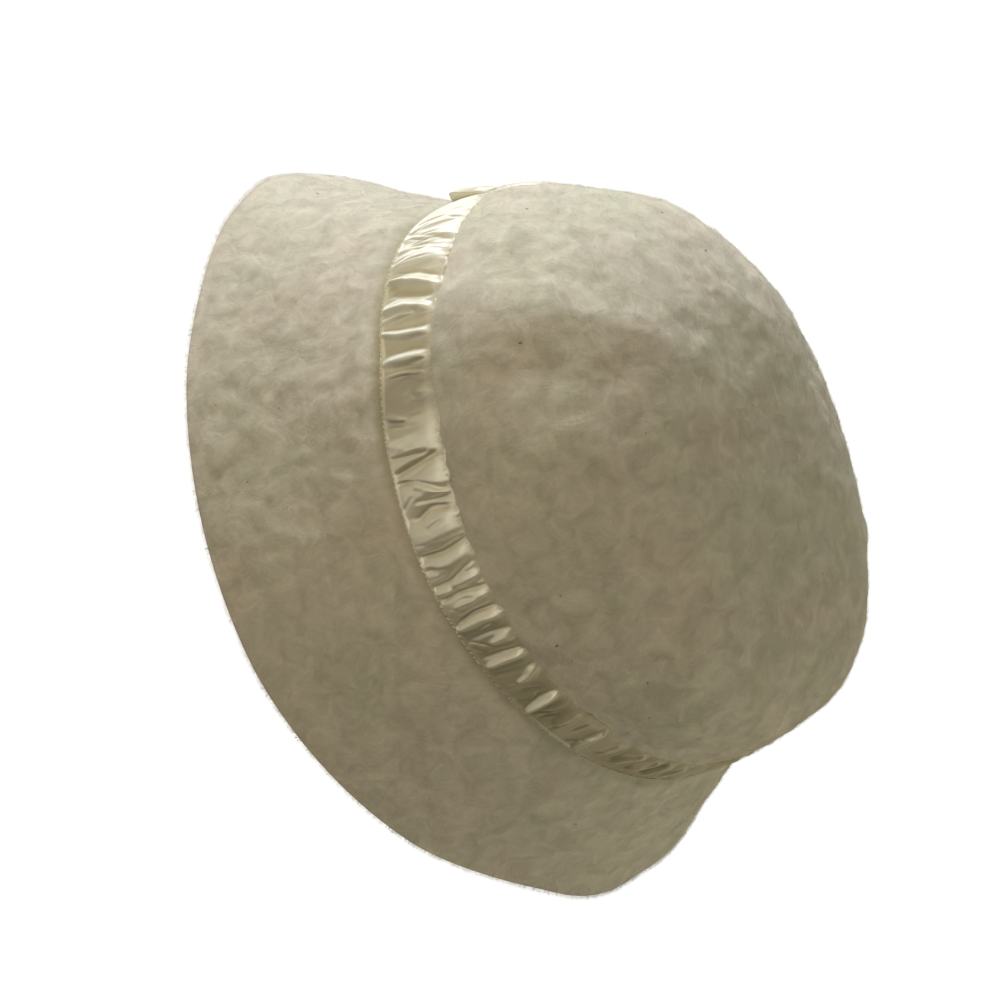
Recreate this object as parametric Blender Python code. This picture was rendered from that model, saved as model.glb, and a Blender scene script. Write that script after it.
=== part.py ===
"""Ivory angora felt hat: a soft round crown, a steep brim and a gathered satin ribbon round their joint.

Metres, +Z up. The hat stands on the rim of its brim at z = 0, and the origin is under the rim's middle.
Its front faces -Y and its left side +X. A bearing is the angle round the hat from +X towards +Y, in
degrees, so -90 is the front, 0 the left side and 90 the back. A rise is a height on the crown, from 0 at
the head line, where crown and brim meet, to 1 at the top. A reach is a place on the brim, from 0 at the
head line to 1 at the rim.
"""
import math
from collections import namedtuple

import bmesh
import bpy
from mathutils import Vector

# Sizes are in millimetres here, and finish_mesh turns them into metres.
MM = 0.001
GAP = 0.3

# The two ovals that the felt is shaped by, seen from above. Egg widens an oval towards the back, and a
# fullness of 2 is an ellipse, with more for a squarer end.
Oval = namedtuple("Oval", "half_width half_length egg front_fullness back_fullness")
HEAD_LINE = Oval(82.6, 104.2, 0.056, 1.91, 1.95)
RIM = Oval(113.7, 142.5, 0.070, 1.80, 1.87)
HEAD_SET_BACK = 5.8
HEAD_HEIGHT = 62.6
HEAD_TILT = -0.033

FELT = 3.0
CROWN_HEIGHT = 79.7
CROWN_LEAN = 0.242
CROWN_SET_BACK = 0.7
CROWN_FULLNESS_FRONT = 1.81
CROWN_FULLNESS_SIDE = 2.55
CROWN_FULLNESS_BACK = 4.29
JOINT_RISE = 0.07

BRIM_BELL_FRONT = -0.18
BRIM_BELL_BACK = 0.05
GROOVE_REACH = 0.05
GROOVE_HALF_REACH = 0.05
GROOVE_DEPTH = 0.8
RIM_CORNER = 0.9

RIBBON_HEIGHT = 24.0
RIBBON_CLOTH = 0.9
RIBBON_EDGE_SHARE = 0.4
RIBBON_FOOT_OUT = 0.1
HEM_HEIGHT = 1.2
HEM_DROP = 1.0
HEM_OUT = 1.2

TAB_WIDTH = 12.0
TAB_FOOT = 0.0
TAB_HEAD = 14.0
TAB_CLOTH = 1.0
TAB_FOOT_OUT = 5.0
TAB_HEAD_OUT = 3.6
TAB_BEARING = -91.0
TAB_ROWS = 5
TAB_SIDES = (-1.0, -0.33, 0.33, 1.0)

FELT_COLUMNS = 72
RIBBON_COLUMNS = 270

FELT_COLOUR = (0.80, 0.76, 0.66)
FELT_ROUGHNESS = 0.95
RIBBON_COLOUR = (0.90, 0.87, 0.74)
RIBBON_ROUGHNESS = 0.35
SHARP_ANGLE = 50.0

# Soft swells of the felt, with a dent where out is below 0: where each one's middle is, how far it stands
# out in millimetres, and how far it reaches to each side.
Swell = namedtuple("Swell", "bearing height out half_bearing half_height")
CROWN_SWELLS = (
    Swell(-52, 0.60, 1.8, 11, 0.32),
    Swell(-30, 0.58, -2.6, 20, 0.30),
    Swell(-78, 0.49, -1.0, 14, 0.26),
    Swell(2, 0.78, 0.9, 22, 0.20),
    Swell(31, 0.58, -1.0, 20, 0.25),
    Swell(64, 0.60, 1.0, 24, 0.28),
    Swell(104, 0.70, 2.4, 24, 0.28),
    Swell(143, 0.83, -1.4, 20, 0.20),
    Swell(150, 0.50, -1.2, 20, 0.24),
    Swell(190, 0.70, -1.8, 22, 0.26),
    Swell(212, 0.72, -1.6, 18, 0.24),
    Swell(236, 0.66, 1.6, 16, 0.24),
)
BRIM_SWELLS = (
    Swell(-104, 0.80, -1.2, 18, 0.50),
    Swell(-92, 1.00, 0.9, 14, 0.30),
    Swell(-76, 0.50, 1.4, 24, 0.42),
    Swell(-58, 1.00, -1.1, 16, 0.50),
    Swell(-38, 0.56, -1.3, 22, 0.40),
    Swell(0, 0.50, 1.0, 24, 0.40),
    Swell(38, 0.55, -1.0, 22, 0.40),
    Swell(50, 1.00, -1.6, 16, 0.45),
    Swell(70, 1.00, 2.0, 12, 0.35),
    Swell(88, 0.74, -1.8, 16, 0.26),
    Swell(134, 0.50, -1.3, 24, 0.40),
    Swell(178, 0.55, 1.2, 26, 0.40),
    Swell(222, 0.50, -1.2, 22, 0.40),
)

# The gathers of the ribbon from the front round the left side to the back: the bearing of each fold at the
# brim and at the crown, its half width there, all in degrees, and how far it stands out in millimetres.
Fold = namedtuple("Fold", "foot head half_foot half_head lift")
FOLDS = (
    Fold(-88.0, -88.5, 2.6, 2.4, 1.3),
    Fold(-82.0, -83.5, 2.8, 2.4, 1.4),
    Fold(-76.0, -77.5, 3.0, 2.6, 1.5),
    Fold(-72.0, -70.5, 2.4, 2.2, 1.4),
    Fold(-68.2, -65.0, 2.4, 2.2, 1.5),
    Fold(-63.2, -59.4, 4.0, 3.8, 2.0),
    Fold(-59.0, -54.5, 1.8, 1.8, 2.0),
    Fold(-52.0, -49.0, 3.4, 2.0, 2.2),
    Fold(-47.8, -44.4, 2.0, 2.0, 1.6),
    Fold(-42.0, -39.8, 2.0, 2.0, 2.0),
    Fold(-38.6, -37.0, 1.4, 1.4, 1.0),
    Fold(-32.0, -28.9, 2.0, 2.2, 1.5),
    Fold(-26.0, -24.5, 1.8, 3.0, 1.5),
    Fold(-21.2, -19.2, 1.6, 3.6, 1.6),
    Fold(-18.0, -15.0, 2.6, 1.6, 1.4),
    Fold(-14.2, -13.0, 1.4, 1.4, 1.0),
    Fold(-10.0, -9.3, 3.4, 3.6, 2.2),
    Fold(-4.0, -4.0, 3.0, 2.2, 1.8),
    Fold(0.5, 0.8, 1.6, 3.0, 1.5),
    Fold(4.2, 4.1, 1.6, 1.6, 1.6),
    Fold(8.1, 9.0, 2.4, 2.4, 2.2),
    Fold(12.3, 13.2, 1.6, 2.2, 1.2),
    Fold(16.2, 17.0, 1.8, 1.8, 1.8),
    Fold(21.0, 21.0, 1.6, 2.4, 1.3),
    Fold(27.1, 27.0, 1.8, 1.8, 1.9),
    Fold(32.6, 33.0, 2.6, 2.4, 0.9),
    Fold(39.6, 39.8, 2.0, 2.0, 1.8),
    Fold(44.2, 45.8, 2.4, 2.4, 0.9),
    Fold(48.8, 51.2, 1.8, 2.0, 1.5),
    Fold(54.0, 55.8, 2.6, 2.4, 1.0),
    Fold(59.5, 61.5, 2.0, 2.0, 1.4),
    Fold(65.5, 67.0, 2.4, 2.4, 1.2),
    Fold(71.5, 72.5, 2.4, 2.4, 1.5),
    Fold(78.0, 78.5, 2.6, 2.6, 1.2),
    Fold(84.5, 84.5, 2.6, 2.6, 1.4),
)
FAR_SIDE_TURN = 180.0

# Where the rings of each piece lie.
CROWN_RISES = (0.07, 0.17, 0.27, 0.37, 0.47, 0.57, 0.67, 0.76, 0.84, 0.90, 0.945, 0.975, 0.993)
BRIM_REACHES = (0.92, 0.80, 0.65, 0.50, 0.35, 0.20, 0.10, 0.05, 0.0)
RIBBON_SHARES = (0.12, 0.32, 0.55, 0.80, 1.0)
RIBBON_INNER_SHARES = (1.0, 0.75, 0.45)


def bell(distance):
    """A smooth hump: 1 at a distance of 0, and 0 from 1 on."""
    return max(0.0, 1.0 - distance * distance) ** 2


def bearing_between(one, other):
    """The way round from one bearing to the other, between -180 and 180 degrees."""
    return (other - one + 180.0) % 360.0 - 180.0


def signed_power(value, exponent):
    return math.copysign(abs(value) ** exponent, value)


def back_share(bearing):
    """0 at the front of the hat and 1 at its back."""
    return 0.5 + 0.5 * math.sin(math.radians(bearing))


def mixed(front, back, share):
    return front + (back - front) * share


def oval_point(oval, bearing):
    """Where the oval lies at this bearing, about its own middle."""
    angle = math.radians(bearing)
    fullness = mixed(oval.front_fullness, oval.back_fullness, back_share(bearing))
    widening = 1.0 + oval.egg * math.sin(angle)
    x = oval.half_width * widening * signed_power(math.cos(angle), 2.0 / fullness)
    y = oval.half_length * signed_power(math.sin(angle), 2.0 / fullness)
    return Vector((x, y, 0.0))


def swelling(swells, bearing, height):
    total = 0.0
    for swell in swells:
        across = bell(bearing_between(swell.bearing, bearing) / swell.half_bearing)
        total += swell.out * across * bell((height - swell.height) / swell.half_height)
    return total


def crown_fullness(bearing):
    """How square the crown's outline is at this bearing."""
    end = mixed(CROWN_FULLNESS_FRONT, CROWN_FULLNESS_BACK, back_share(bearing))
    return mixed(end, CROWN_FULLNESS_SIDE, math.cos(math.radians(bearing)) ** 4)


def crown_point(bearing, rise, out=0.0):
    """A point on the crown's outer surface, or this far outside it."""
    base = oval_point(HEAD_LINE, bearing)
    fullness = crown_fullness(bearing)
    share = (1.0 - rise ** fullness) ** (1.0 / fullness)
    x = base.x * share
    y = base.y * share + CROWN_SET_BACK * rise ** 2
    z = CROWN_HEIGHT * rise * (1.0 - CROWN_LEAN * share * base.y / HEAD_LINE.half_length)
    slope = Vector((x / HEAD_LINE.half_width ** 2, y / HEAD_LINE.half_length ** 2, z / CROWN_HEIGHT ** 2))
    place = Vector((x, y + HEAD_SET_BACK, z + HEAD_HEIGHT + HEAD_TILT * y))
    return place + slope.normalized() * (out + swelling(CROWN_SWELLS, bearing, rise))


def brim_point(bearing, reach):
    """A point on the brim's upper surface."""
    head = crown_point(bearing, 0.0)
    rim = oval_point(RIM, bearing)
    brim_bell = mixed(BRIM_BELL_FRONT, BRIM_BELL_BACK, back_share(bearing))
    spread = reach + brim_bell * (reach - reach ** 2)
    overhang = Vector((rim.x - head.x, rim.y - head.y, 0.0))
    out = swelling(BRIM_SWELLS, bearing, reach)
    out -= GROOVE_DEPTH * bell((reach - GROOVE_REACH) / GROOVE_HALF_REACH)
    place = Vector((head.x, head.y, head.z * (1.0 - reach)))
    return place + overhang * spread + overhang.normalized() * out


def ring_bearings(columns):
    return [360.0 * column / columns for column in range(columns)]


def ring(surface, place, columns):
    """The points of a surface at one height, all the way round."""
    return [surface(bearing, place) for bearing in ring_bearings(columns)]


def ring_normals(rings):
    """The outward normal at each point of a stack of rings that is listed from the bottom up."""
    normals = []
    for level, points in enumerate(rings):
        below = rings[max(level - 1, 0)]
        above = rings[min(level + 1, len(rings) - 1)]
        row = []
        for column in range(len(points)):
            along = points[(column + 1) % len(points)] - points[column - 1]
            row.append(along.cross(above[column] - below[column]).normalized())
        normals.append(row)
    return normals


def finish_mesh(name, mesh, colour, roughness):
    """Turns a mesh in millimetres into an object in metres, with smooth shading and its own material."""
    for vertex in mesh.vertices:
        vertex.co *= MM
    mesh.shade_smooth()
    mesh.set_sharp_from_angle(angle=math.radians(SHARP_ANGLE))
    material = bpy.data.materials.new(name)
    material.use_nodes = True
    shader = material.node_tree.nodes["Principled BSDF"]
    shader.inputs["Base Color"].default_value = (*colour, 1.0)
    shader.inputs["Roughness"].default_value = roughness
    shader.inputs["Metallic"].default_value = 0.0
    mesh.materials.append(material)
    piece = bpy.data.objects.new(name, mesh)
    bpy.context.scene.collection.objects.link(piece)
    return piece


def lofted_solid(name, rings, colour, roughness):
    """A closed body through rings that run up its outside and down its inside. A single point is a pole."""
    shape = bmesh.new()
    loops = [[shape.verts.new(point) for point in points] for points in rings]
    for lower, upper in zip(loops, loops[1:] + loops[:1]):
        if len(lower) == 1 and len(upper) == 1:
            continue
        columns = max(len(lower), len(upper))
        for column in range(columns):
            after = (column + 1) % columns
            if len(upper) == 1:
                shape.faces.new((lower[column], lower[after], upper[0]))
            elif len(lower) == 1:
                shape.faces.new((lower[0], upper[after], upper[column]))
            else:
                shape.faces.new((lower[column], lower[after], upper[after], upper[column]))
    mesh = bpy.data.meshes.new(name)
    shape.to_mesh(mesh)
    shape.free()
    return finish_mesh(name, mesh, colour, roughness)


def build_crown():
    """The felt dome, open below, whose lower edge stands on the brim's collar under the ribbon."""
    outside = [ring(crown_point, rise, FELT_COLUMNS) for rise in CROWN_RISES]
    for point in outside[0]:
        point.z += GAP
    top = crown_point(0.0, 1.0)
    inside = []
    for points, normals in zip(outside, ring_normals(outside + [[top] * FELT_COLUMNS])):
        inside.append([point - normal * FELT for point, normal in zip(points, normals)])
    for inner, outer in zip(inside[0], outside[0]):
        inner.z = outer.z
    under_top = top - Vector((0.0, 0.0, FELT))
    rings = outside + [[top]] + [[under_top]] + inside[-2::-2]
    if rings[-1] is not inside[0]:
        rings.append(inside[0])
    return lofted_solid("crown", rings, FELT_COLOUR, FELT_ROUGHNESS)


def build_brim():
    """The felt skirt from a collar inside the ribbon down to the flat rim."""
    above_rim = 1.0 - RIM_CORNER / HEAD_HEIGHT
    outside = [ring(brim_point, above_rim, FELT_COLUMNS)]
    outside += [ring(brim_point, reach, FELT_COLUMNS) for reach in BRIM_REACHES]
    outside.append(ring(crown_point, JOINT_RISE, FELT_COLUMNS))
    inside = []
    for points, normals in zip(outside, ring_normals(outside)):
        row = []
        for point, normal in zip(points, normals):
            level = Vector((normal.x, normal.y, 0.0))
            row.append(point - level.normalized() * (FELT / level.length))
        inside.append(row)
    rim_outer = []
    rim_inner = []
    for outer, inner in zip(outside[0], inside[0]):
        inward = (inner - outer).normalized()
        rim_outer.append(Vector((outer.x, outer.y, 0.0)) + inward * RIM_CORNER / 2)
        rim_inner.append(Vector((inner.x, inner.y, 0.0)) - inward * RIM_CORNER / 2)
    inside_down = inside[:0:-2] + [inside[0]]
    rings = [rim_outer] + outside + inside_down + [rim_inner]
    return lofted_solid("brim", rings, FELT_COLOUR, FELT_ROUGHNESS)


def gathering(bearing, share):
    """How far the folds lift the ribbon, at this share of its height."""
    lift = 0.0
    for turn in (0.0, FAR_SIDE_TURN):
        for fold in FOLDS:
            middle = mixed(fold.foot, fold.head, share) + turn
            half = mixed(fold.half_foot, fold.half_head, share)
            lift = max(lift, fold.lift * bell(bearing_between(middle, bearing) / half))
    edge = 1.0 - (1.0 - RIBBON_EDGE_SHARE) * abs(2.0 * share - 1.0) ** 3
    return lift * edge


def ribbon_point(bearing, share, out):
    """A point at this share of the ribbon's height, this far outside the felt."""
    return crown_point(bearing, share * RIBBON_HEIGHT / CROWN_HEIGHT, GAP + out)


def build_ribbon_band():
    """The gathered ribbon round the joint, with a thin hem along its brim side."""
    bearings = ring_bearings(RIBBON_COLUMNS)
    hem = [ribbon_point(bearing, 0.0, HEM_OUT) - Vector((0.0, 0.0, HEM_DROP)) for bearing in bearings]
    above_hem = [ribbon_point(bearing, HEM_HEIGHT / RIBBON_HEIGHT, HEM_OUT) for bearing in bearings]
    rings = [hem, above_hem]
    for share in RIBBON_SHARES:
        cloth = RIBBON_CLOTH if share < 1.0 else RIBBON_CLOTH / 2
        rings.append([ribbon_point(b, share, cloth + gathering(b, share)) for b in bearings])
    for share in RIBBON_INNER_SHARES:
        rings.append([ribbon_point(bearing, share, 0.0) for bearing in bearings])
    rings.append([ribbon_point(bearing, 0.0, RIBBON_FOOT_OUT) + Vector((0.0, 0.0, GAP)) for bearing in bearings])
    return lofted_solid("ribbon_band", rings, RIBBON_COLOUR, RIBBON_ROUGHNESS)


def build_ribbon_tab():
    """The ribbon's sewn end at the front, with its lower edge standing proud of the band."""
    half = math.degrees(TAB_WIDTH / 2 / HEAD_LINE.half_width)
    shape = bmesh.new()
    rows = []
    for row in range(TAB_ROWS):
        share = row / (TAB_ROWS - 1)
        height = mixed(TAB_FOOT, TAB_HEAD, share)
        out = mixed(TAB_FOOT_OUT, TAB_HEAD_OUT, share ** 0.5)
        bearings = [TAB_BEARING + half * side for side in TAB_SIDES]
        rows.append([shape.verts.new(crown_point(b, height / CROWN_HEIGHT, out)) for b in bearings])
    for lower, upper in zip(rows, rows[1:]):
        for column in range(len(TAB_SIDES) - 1):
            shape.faces.new((lower[column], lower[column + 1], upper[column + 1], upper[column]))
    mesh = bpy.data.meshes.new("ribbon_tab")
    shape.to_mesh(mesh)
    shape.free()
    tab = finish_mesh("ribbon_tab", mesh, RIBBON_COLOUR, RIBBON_ROUGHNESS)
    thickness = tab.modifiers.new("cloth", "SOLIDIFY")
    thickness.thickness = TAB_CLOTH * MM
    thickness.offset = 0.0
    return tab


def main():
    for old in list(bpy.data.objects):
        bpy.data.objects.remove(old, do_unlink=True)
    build_crown()
    build_brim()
    build_ribbon_band()
    build_ribbon_tab()


main()
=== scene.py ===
"""Looks of an ivory angora felt hat with a gathered satin ribbon.

Shapes are worked out in millimetres and turned into metres by make_mesh. A bearing is the angle round the
hat from its left side, +X, towards its back, +Y, in degrees, so -90 is the front. A rise is a height on the
crown, from 0 at the head line to 1 at the top. A reach is a place on the brim, from 0 at the head line to 1
at the rim.
"""
import math
from collections import namedtuple

import bmesh
import bpy
import numpy as np
from mathutils import Matrix, Vector


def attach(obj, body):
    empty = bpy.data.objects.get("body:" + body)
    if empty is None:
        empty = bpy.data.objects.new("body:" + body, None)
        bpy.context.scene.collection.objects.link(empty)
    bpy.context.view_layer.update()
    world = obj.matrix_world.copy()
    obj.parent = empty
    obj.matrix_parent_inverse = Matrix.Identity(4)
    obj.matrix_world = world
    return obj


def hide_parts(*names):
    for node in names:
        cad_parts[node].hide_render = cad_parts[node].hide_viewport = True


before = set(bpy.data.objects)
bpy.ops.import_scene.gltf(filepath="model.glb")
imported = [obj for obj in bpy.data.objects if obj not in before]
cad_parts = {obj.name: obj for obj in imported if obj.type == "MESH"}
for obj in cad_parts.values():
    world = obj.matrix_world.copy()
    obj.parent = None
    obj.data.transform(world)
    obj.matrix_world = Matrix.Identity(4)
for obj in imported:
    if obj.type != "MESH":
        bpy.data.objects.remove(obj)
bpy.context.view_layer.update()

MM = 0.001

# The hat's own sizes, as in the CAD part.
Oval = namedtuple("Oval", "half_width half_length egg front_fullness back_fullness")
HEAD_LINE = Oval(82.6, 104.2, 0.056, 1.91, 1.95)
RIM = Oval(113.7, 142.5, 0.070, 1.80, 1.87)
HEAD_SET_BACK = 5.8
HEAD_HEIGHT = 62.6
HEAD_TILT = -0.033
FELT = 3.0
CROWN_HEIGHT = 79.7
CROWN_LEAN = 0.242
CROWN_SET_BACK = 0.7
CROWN_FULLNESS_FRONT = 1.81
CROWN_FULLNESS_SIDE = 2.55
CROWN_FULLNESS_BACK = 4.29
JOINT_RISE = 0.07
JOINT_GAP = 0.3
BRIM_BELL_FRONT = -0.18
BRIM_BELL_BACK = 0.05
GROOVE_REACH = 0.05
GROOVE_HALF_REACH = 0.05
GROOVE_DEPTH = 0.8
# How far a reach of 1 is along the brim.
BRIM_LENGTH = 73.0
# Patterns that run round the hat are laid on a ring of this radius.
PATTERN_RADIUS = 95.0

Swell = namedtuple("Swell", "bearing height out half_bearing half_height")
CROWN_SWELLS = [Swell(*row) for row in (
    (-45, 0.47, 1.8, 16, 0.3), (-30, 0.74, -2.8, 18, 0.32), (-78, 0.49, -1, 14, 0.26),
    (2, 0.78, 0.9, 22, 0.2), (31, 0.58, -1, 20, 0.25), (64, 0.6, 1, 24, 0.28),
    (104, 0.7, 2.4, 24, 0.28), (143, 0.83, -1.4, 20, 0.2), (150, 0.5, -1.2, 20, 0.24),
    (190, 0.7, -1.8, 22, 0.26), (212, 0.72, -1.6, 18, 0.24), (236, 0.66, 1.6, 16, 0.24),
)]
BRIM_SWELLS = [Swell(*row) for row in (
    (-104, 0.8, -1.2, 18, 0.5), (-92, 1, 0.9, 14, 0.3), (-76, 0.5, 1.4, 24, 0.42),
    (-58, 1, -1.1, 16, 0.5), (-38, 0.56, -1.3, 22, 0.4), (0, 0.5, 1, 24, 0.4),
    (38, 0.55, -1, 22, 0.4), (50, 1, -1.6, 16, 0.45), (70, 1, 2, 12, 0.35),
    (88, 0.74, -1.8, 16, 0.26), (134, 0.5, -1.3, 24, 0.4), (178, 0.55, 1.2, 26, 0.4),
    (222, 0.5, -1.2, 22, 0.4),
)]

# Bearings, and how high the ribbon's lower and upper edge lie from the head line there, from the front round
# the left side to the back. The right side is its mirror image.
RIBBON_EDGES = np.array((
    (-90, 2.4, 19.5), (-82, 1.3, 20.8), (-75, 0.8, 22), (-68, 0.9, 22.8),
    (-60, 1.3, 23.6), (-50, 2.5, 24.2), (-42, 3.3, 24), (-36, 2.8, 24.3),
    (-30, 2.1, 24.4), (-20, 1.7, 23.8), (-10, 0.9, 23.4), (0, 0.6, 23.4),
    (20, 0.6, 23.2), (30, 0.6, 23.4), (40, 0.4, 24.2), (50, 0, 24),
    (60, -0.5, 23.5), (90, -1, 23),
))

# Bearings, and the painted light on the satin there where it lies flat, from 0, painted shade, to 1, painted
# light, with the same sides.
SATIN_PAINTED_LIGHT_BY_BEARING = np.array((
    (-90, 0.8), (-62, 0.8), (-57, 0.7), (-50, 0.72), (-40, 0.58), (-36.5, 0.02), (-31.5, 0.02),
    (-29.5, 0.3), (-26, 0.6), (-15, 0.74), (2, 0.68), (8, 0.5), (20, 0.38), (40, 0.32),
    (60, 0.32), (90, 0.44),
))

# A fold runs through three places, each a bearing and a share of the ribbon's height, and has a half width
# in degrees at its foot and its head. A ridge lifts the satin and a crease presses it in, by out
# millimetres. The right side repeats the left side's folds, turned half way round.
Fold = namedtuple("Fold", "foot foot_share middle middle_share head head_share half_foot half_head out")
RIDGES = [Fold(*row) for row in (
    (-89.5, 0.05, -89.5, 0.5, -90, 0.95, 2.4, 2.2, 0.4),
    (-85, 0.05, -85.5, 0.5, -87, 0.95, 3, 2.8, 0.4),
    (-80.5, 0.05, -81, 0.5, -82.5, 0.95, 3.2, 3, 0.45),
    (-76.6, 0.06, -76.4, 0.5, -77.5, 0.95, 3, 2.8, 0.5),
    (-73.2, 0.06, -71.5, 0.56, -70, 0.95, 2.8, 2.8, 0.5),
    (-69, 0.08, -67, 0.54, -65, 0.95, 2.6, 2.6, 0.6),
    (-64.2, 0.08, -63.5, 0.52, -62, 0.95, 5.4, 5.2, 1.2),
    (-59.8, 0.11, -57.4, 0.55, -55, 0.92, 1.7, 1.9, 2.2),
    (-53, 0.05, -51.6, 0.51, -49, 0.97, 2.6, 1.9, 2.2),
    (-50.4, 0.02, -50.2, 0.35, -49.8, 0.61, 1.5, 0.9, 1.3),
    (-48, 0.04, -46, 0.38, -44.3, 0.95, 1.3, 1.7, 1.7),
    (-41.9, 0.03, -40.9, 0.44, -39.9, 0.9, 1.7, 1.7, 1.8),
    (-38.9, 0.18, -38.4, 0.47, -37.1, 0.8, 0.9, 0.9, 0.9),
    (-33.9, 0.72, -33.7, 0.81, -33.5, 0.92, 1.4, 1.4, 0.8),
    (-32.1, 0.05, -31.2, 0.24, -30.2, 0.42, 1.2, 1, 0.9),
    (-27, 0.05, -25.5, 0.29, -24.3, 0.65, 1.8, 2.2, 1.3),
    (-18.8, 0.38, -17.1, 0.58, -15.6, 0.9, 1.5, 1.3, 1.2),
    (-4.1, 0.31, -4, 0.59, -4.7, 0.91, 2.2, 2.4, 1.2),
    (0.6, 0.08, 0.7, 0.2, 0.8, 0.33, 1.1, 0.9, 1),
    (0.2, 0.5, 0.2, 0.67, 0.2, 0.92, 1.6, 1.8, 1.1),
    (4.1, 0.32, 4, 0.65, 4, 0.95, 1.1, 1.2, 1.5),
    (8.1, 0.1, 7.8, 0.57, 8.4, 0.94, 1.2, 2.1, 2.1),
    (12.6, 0.53, 12.7, 0.75, 13, 0.97, 1, 1.6, 1),
    (16.3, 0.15, 16.3, 0.61, 16.7, 0.97, 1.1, 1.3, 1.7),
    (21.2, 0.49, 21, 0.72, 20.2, 0.96, 0.8, 1.7, 1.3),
    (27.5, 0.11, 26.9, 0.58, 26.5, 0.97, 1.1, 1.3, 2.6),
    (32.9, 0.34, 32.5, 0.62, 32.2, 0.92, 1.8, 1.8, 0.7),
    (39.8, 0.11, 39.1, 0.6, 39.2, 0.97, 1.2, 1.3, 1.9),
    (43.8, 0.3, 44.3, 0.62, 45.4, 0.95, 1.8, 1.8, 0.8),
    (48, 0.28, 49.1, 0.6, 51, 0.94, 1.3, 1.6, 1.2),
    (53.4, 0.22, 54.1, 0.6, 55, 0.95, 1.8, 1.6, 1.1),
    (57, 0.2, 57.6, 0.6, 58.8, 0.96, 1.2, 1.4, 1.2),
    (61.2, 0.12, 61.6, 0.55, 62.4, 0.95, 1.4, 1.4, 1.5),
    (66.8, 0.1, 67, 0.55, 67.6, 0.95, 1.8, 1.8, 1.2),
    (72.4, 0.1, 72.6, 0.55, 73.2, 0.95, 1.4, 1.4, 1.4),
    (78.4, 0.1, 78.6, 0.55, 78.8, 0.95, 1.8, 1.8, 1.1),
    (84.6, 0.08, 84.4, 0.55, 84.2, 0.95, 1.6, 1.6, 1.3),
)]
CREASES = [Fold(*row) for row in (
    (-78.8, 0.04, -78.6, 0.5, -79.8, 0.97, 1, 1, 0.25),
    (-75, 0.05, -71.2, 0.54, -67.6, 0.99, 0.9, 1, 0.3),
    (-68.8, 0.33, -67.8, 0.59, -66.2, 0.88, 0.8, 0.9, 0.35),
    (-62, 0.21, -59.8, 0.6, -57.3, 0.95, 0.7, 0.8, 0.6),
    (-56.7, 0.2, -54.8, 0.48, -53, 0.9, 1.4, 1.4, 0.8),
    (-49, 0.11, -47.7, 0.41, -46.3, 0.85, 0.8, 0.9, 0.7),
    (-44.4, 0.1, -43.1, 0.5, -42.1, 0.92, 1.2, 1.2, 0.7),
    (-39.9, 0.25, -39.3, 0.48, -38.5, 0.72, 0.6, 0.6, 0.6),
    (-30.4, 0.17, -29.5, 0.36, -28.5, 0.58, 0.7, 0.7, 0.6),
    (-28.4, 0.04, -28, 0.28, -27.5, 0.62, 1.2, 1, 0.7),
    (-24.6, 0.06, -24, 0.34, -23.2, 0.7, 0.6, 0.7, 0.8),
    (-21.8, 0.1, -22, 0.44, -22.5, 0.84, 0.8, 0.9, 1.1),
    (-20.1, 0.1, -19, 0.45, -16.3, 0.88, 0.6, 0.7, 1.1),
    (-15.8, 0.43, -15.3, 0.65, -14.8, 0.88, 0.6, 0.6, 0.9),
    (-13, 0.28, -14, 0.54, -13.1, 0.86, 0.8, 0.8, 1.3),
    (-7.1, 0.09, -6.3, 0.5, -7, 0.93, 0.8, 0.9, 1.3),
    (-4.2, 0.13, -4, 0.18, -3.8, 0.23, 0.8, 0.8, 1.2),
    (-1.2, 0.11, -1.2, 0.43, -2.8, 0.86, 0.7, 0.8, 1.1),
    (1.8, 0.14, 1.7, 0.51, 2.4, 0.9, 0.8, 0.7, 1),
    (6.5, 0.21, 5.9, 0.53, 6.1, 0.9, 0.7, 0.8, 1),
    (10.3, 0.13, 10.3, 0.52, 10.9, 0.92, 0.9, 0.9, 0.6),
    (14.3, 0.16, 14.5, 0.53, 15.1, 0.9, 0.9, 0.8, 0.6),
    (18.3, 0.14, 18.7, 0.54, 18.9, 0.92, 1, 1, 0.5),
    (56, 0.2, 56.1, 0.6, 56.9, 0.92, 0.8, 0.8, 0.7),
    (64.2, 0.1, 64.3, 0.55, 65, 0.92, 0.9, 0.9, 0.7),
    (75.4, 0.1, 75.6, 0.55, 75.8, 0.92, 0.9, 0.9, 0.6),
)]
# Wide rounded puffs of satin between the creases, given like the folds.
PUFFS = [Fold(*row) for row in (
    (-25.8, 0.02, -25.8, 0.49, -26, 0.98, 4.5, 4, 1.1),
    (-16.8, 0.1, -17.1, 0.44, -18.8, 0.98, 3, 3.6, 1.3),
    (-9.8, 0.06, -9.8, 0.5, -9.8, 0.96, 3.6, 4.2, 1.9),
    (-3.5, 0.02, -3.8, 0.46, -4.8, 0.97, 2.8, 3, 1.2),
    (4.2, 0.08, 4, 0.51, 4.2, 0.97, 2.8, 2.6, 0.9),
)]
FAR_SIDE_TURN = 180.0
# No part of a fold is further than this from its middle, in degrees.
FOLD_REACH = 14.0


def bell(distance):
    return np.maximum(0.0, 1.0 - distance * distance) ** 2


def bearing_between(one, other):
    return (other - one + 180.0) % 360.0 - 180.0


def signed_power(value, exponent):
    return np.sign(value) * np.abs(value) ** exponent


def smooth_step(low, high, value):
    share = np.clip((value - low) / (high - low), 0.0, 1.0)
    return share * share * (3.0 - 2.0 * share)


def back_share(bearing):
    return 0.5 + 0.5 * np.sin(np.radians(bearing))


def mixed(front, back, share):
    return front + (back - front) * share


def unit(vectors):
    return vectors / np.maximum(np.linalg.norm(vectors, axis=-1, keepdims=True), 1e-9)


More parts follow.
